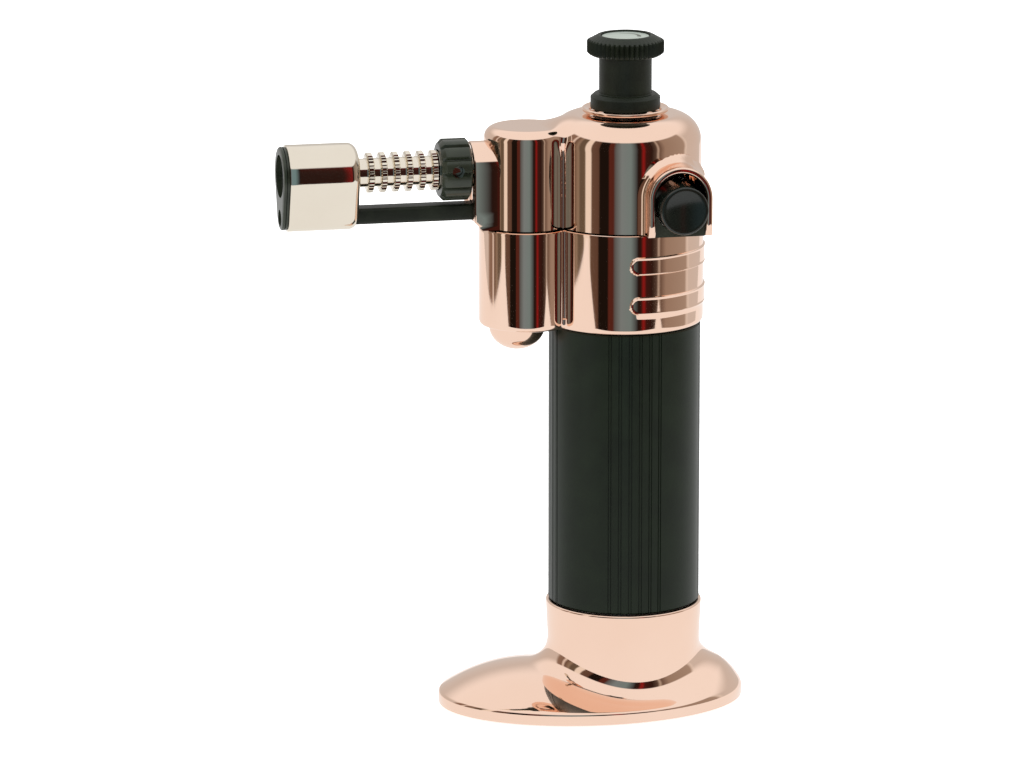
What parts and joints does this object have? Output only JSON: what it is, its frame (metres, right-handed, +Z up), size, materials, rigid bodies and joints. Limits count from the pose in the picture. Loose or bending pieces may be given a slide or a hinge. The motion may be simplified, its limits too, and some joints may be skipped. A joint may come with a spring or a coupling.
{
  "type": "butane torch",
  "caption": "Refillable butane bench torch with a two-lobed housing, forward burner, top gas knob, side ignition button and removable oval foot.",
  "frame": {"origin": "on the tank's axis, on the plane that the foot's pad rests on", "axes": "+Z up along the tank, -X towards the burner's muzzle, -Y the side of the ignition button"},
  "size_m": [0.1082, 0.0517, 0.1566],
  "materials": {
    "rose_gold_foot": "rose-gold mirror plating on a zinc casting",
    "rose_gold_housing": "rose-gold mirror plating on the moulded housing",
    "nickel": "bright nickel plating",
    "black_anodised": "satin black anodised, finely grooved in places",
    "black_plastic": "matte black moulded plastic",
    "gloss_black_plastic": "smooth semi-gloss black plastic",
    "white_plastic": "plain off-white plastic",
    "label_metal": "pale silver foil disc",
    "brass": "turned brass",
    "steel": "plain bright steel",
    "aluminium": "turned aluminium",
    "rubber": "matte black rubber",
    "ceramic": "unglazed white ceramic"
  },
  "bodies": {
    "stand": {"foot": "rose_gold_foot", "foot_pad": "rubber"},
    "torch": {"tank_tube": "black_anodised", "tank_bottom_plug": "aluminium", "lower_tank_seal": "rubber", "filler_valve_body": "brass", "tank_top_plug": "aluminium", "upper_tank_seal": "rubber", "pickup_wick": "white_plastic", "gas_valve_block": "brass", "gas_tube": "brass", "gas_jet": "brass", "lower_collar": "rose_gold_housing", "front_dome": "rose_gold_housing", "top_cover": "rose_gold_housing", "knob_bezel": "rose_gold_housing", "button_plate": "black_plastic", "piezo_body": "white_plastic", "ignition_lead": "rubber", "burner_tube": "nickel", "electrode_sleeve": "gloss_black_plastic", "spark_electrode": "steel", "barrel": "nickel", "flame_tube": "steel", "flame_spreader": "ceramic", "muzzle_ring": "black_plastic"},
    "regulator": {"regulator_spindle": "steel", "spindle_seal": "rubber", "knob_sleeve": "black_plastic", "knob_cap": "black_plastic", "knob_screw": "steel", "knob_label": "label_metal"},
    "igniter": {"ignition_button": "gloss_black_plastic", "piezo_plunger": "black_plastic"},
    "air_adjuster": {"air_ring": "gloss_black_plastic"},
    "filler": {"filler_valve_stem": "brass", "filler_spring": "steel"}
  },
  "joints": [
    {"name": "torch_lift", "type": "slide", "parent": "stand", "child": "torch", "axis": [0, 0, 1], "range_m": [0, 0.025]},
    {"name": "regulator_turn", "type": "hinge", "parent": "torch", "child": "regulator", "pos_m": [0, 0, 0.14], "axis": [0, 0, 1], "range_deg": [0, 270]},
    {"name": "ignition_press", "type": "slide", "parent": "torch", "child": "igniter", "axis": [0, 1, 0], "range_m": [0, 0.004], "stiffness_N_per_m": 2500, "springref_m": -0.0005},
    {"name": "air_ring_turn", "type": "hinge", "parent": "torch", "child": "air_adjuster", "pos_m": [-0.0402, 0, 0.1269], "axis": [-1, 0, 0], "range_deg": [0, 90]},
    {"name": "filler_press", "type": "slide", "parent": "torch", "child": "filler", "axis": [0, 0, 1], "range_m": [0, 0.0015], "stiffness_N_per_m": 1500, "springref_m": -0.0003, "deforming": ["filler_spring"]}
  ]
}
